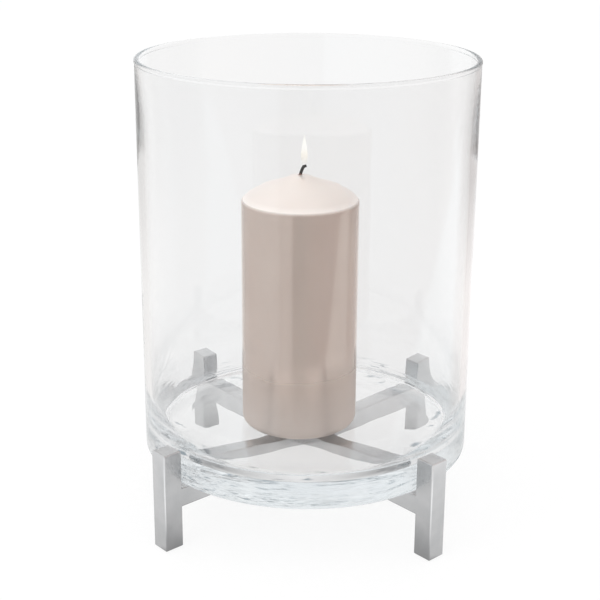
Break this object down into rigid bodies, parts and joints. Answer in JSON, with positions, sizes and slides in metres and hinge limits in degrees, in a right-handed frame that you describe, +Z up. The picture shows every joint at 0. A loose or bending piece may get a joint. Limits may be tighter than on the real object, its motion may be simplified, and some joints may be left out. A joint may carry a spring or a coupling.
{
  "type": "hurricane candle lantern",
  "caption": "Clear glass hurricane cylinder with a thick base, cradled by a low crossed square-bar steel stand with upright posts, holding a domed pillar candle.",
  "frame": {"origin": "on the table under the middle of the glass", "axes": "+Z up, -Y the front, +X to the right; the four arms of the cross point at the four corners between X and Y"},
  "size_m": [0.2006, 0.2006, 0.2788],
  "materials": {
    "satin_steel": "stainless steel bar, ground and satin polished",
    "zinc_screw": "zinc-plated countersunk socket screw",
    "black_glide": "hard black plastic glide",
    "clear_pad": "clear silicone rest pad",
    "clear_glass": "clear mouth-blown soda-lime glass, fire-polished lip",
    "taupe_wax": "pearl taupe lacquered candle wax",
    "burnt_cotton": "braided cotton wick, charred at the end",
    "tinplate": "bright tinplate"
  },
  "bodies": {
    "stand": {"cross_bar_lower": "satin_steel", "cross_bar_upper": "satin_steel", "lap_screw": "zinc_screw", "leg_front_left": "satin_steel", "leg_front_right": "satin_steel", "leg_rear_right": "satin_steel", "leg_rear_left": "satin_steel", "foot_glide_front_left": "black_glide", "foot_glide_front_right": "black_glide", "foot_glide_rear_right": "black_glide", "foot_glide_rear_left": "black_glide", "rest_pad_front_left": "clear_pad", "rest_pad_front_right": "clear_pad", "rest_pad_rear_right": "clear_pad", "rest_pad_rear_left": "clear_pad"},
    "glass": {"glass_cylinder": "clear_glass"},
    "pillar_candle": {"candle": "taupe_wax", "wick": "burnt_cotton", "wick_holder": "tinplate"}
  },
  "joints": [
    {"name": "glass_lift", "type": "slide", "parent": "stand", "child": "glass", "axis": [0, 0, 1], "range_m": [0, 0.06]},
    {"name": "candle_lift", "type": "slide", "parent": "glass", "child": "pillar_candle", "axis": [0, 0, 1], "range_m": [0, 0.25]}
  ]
}
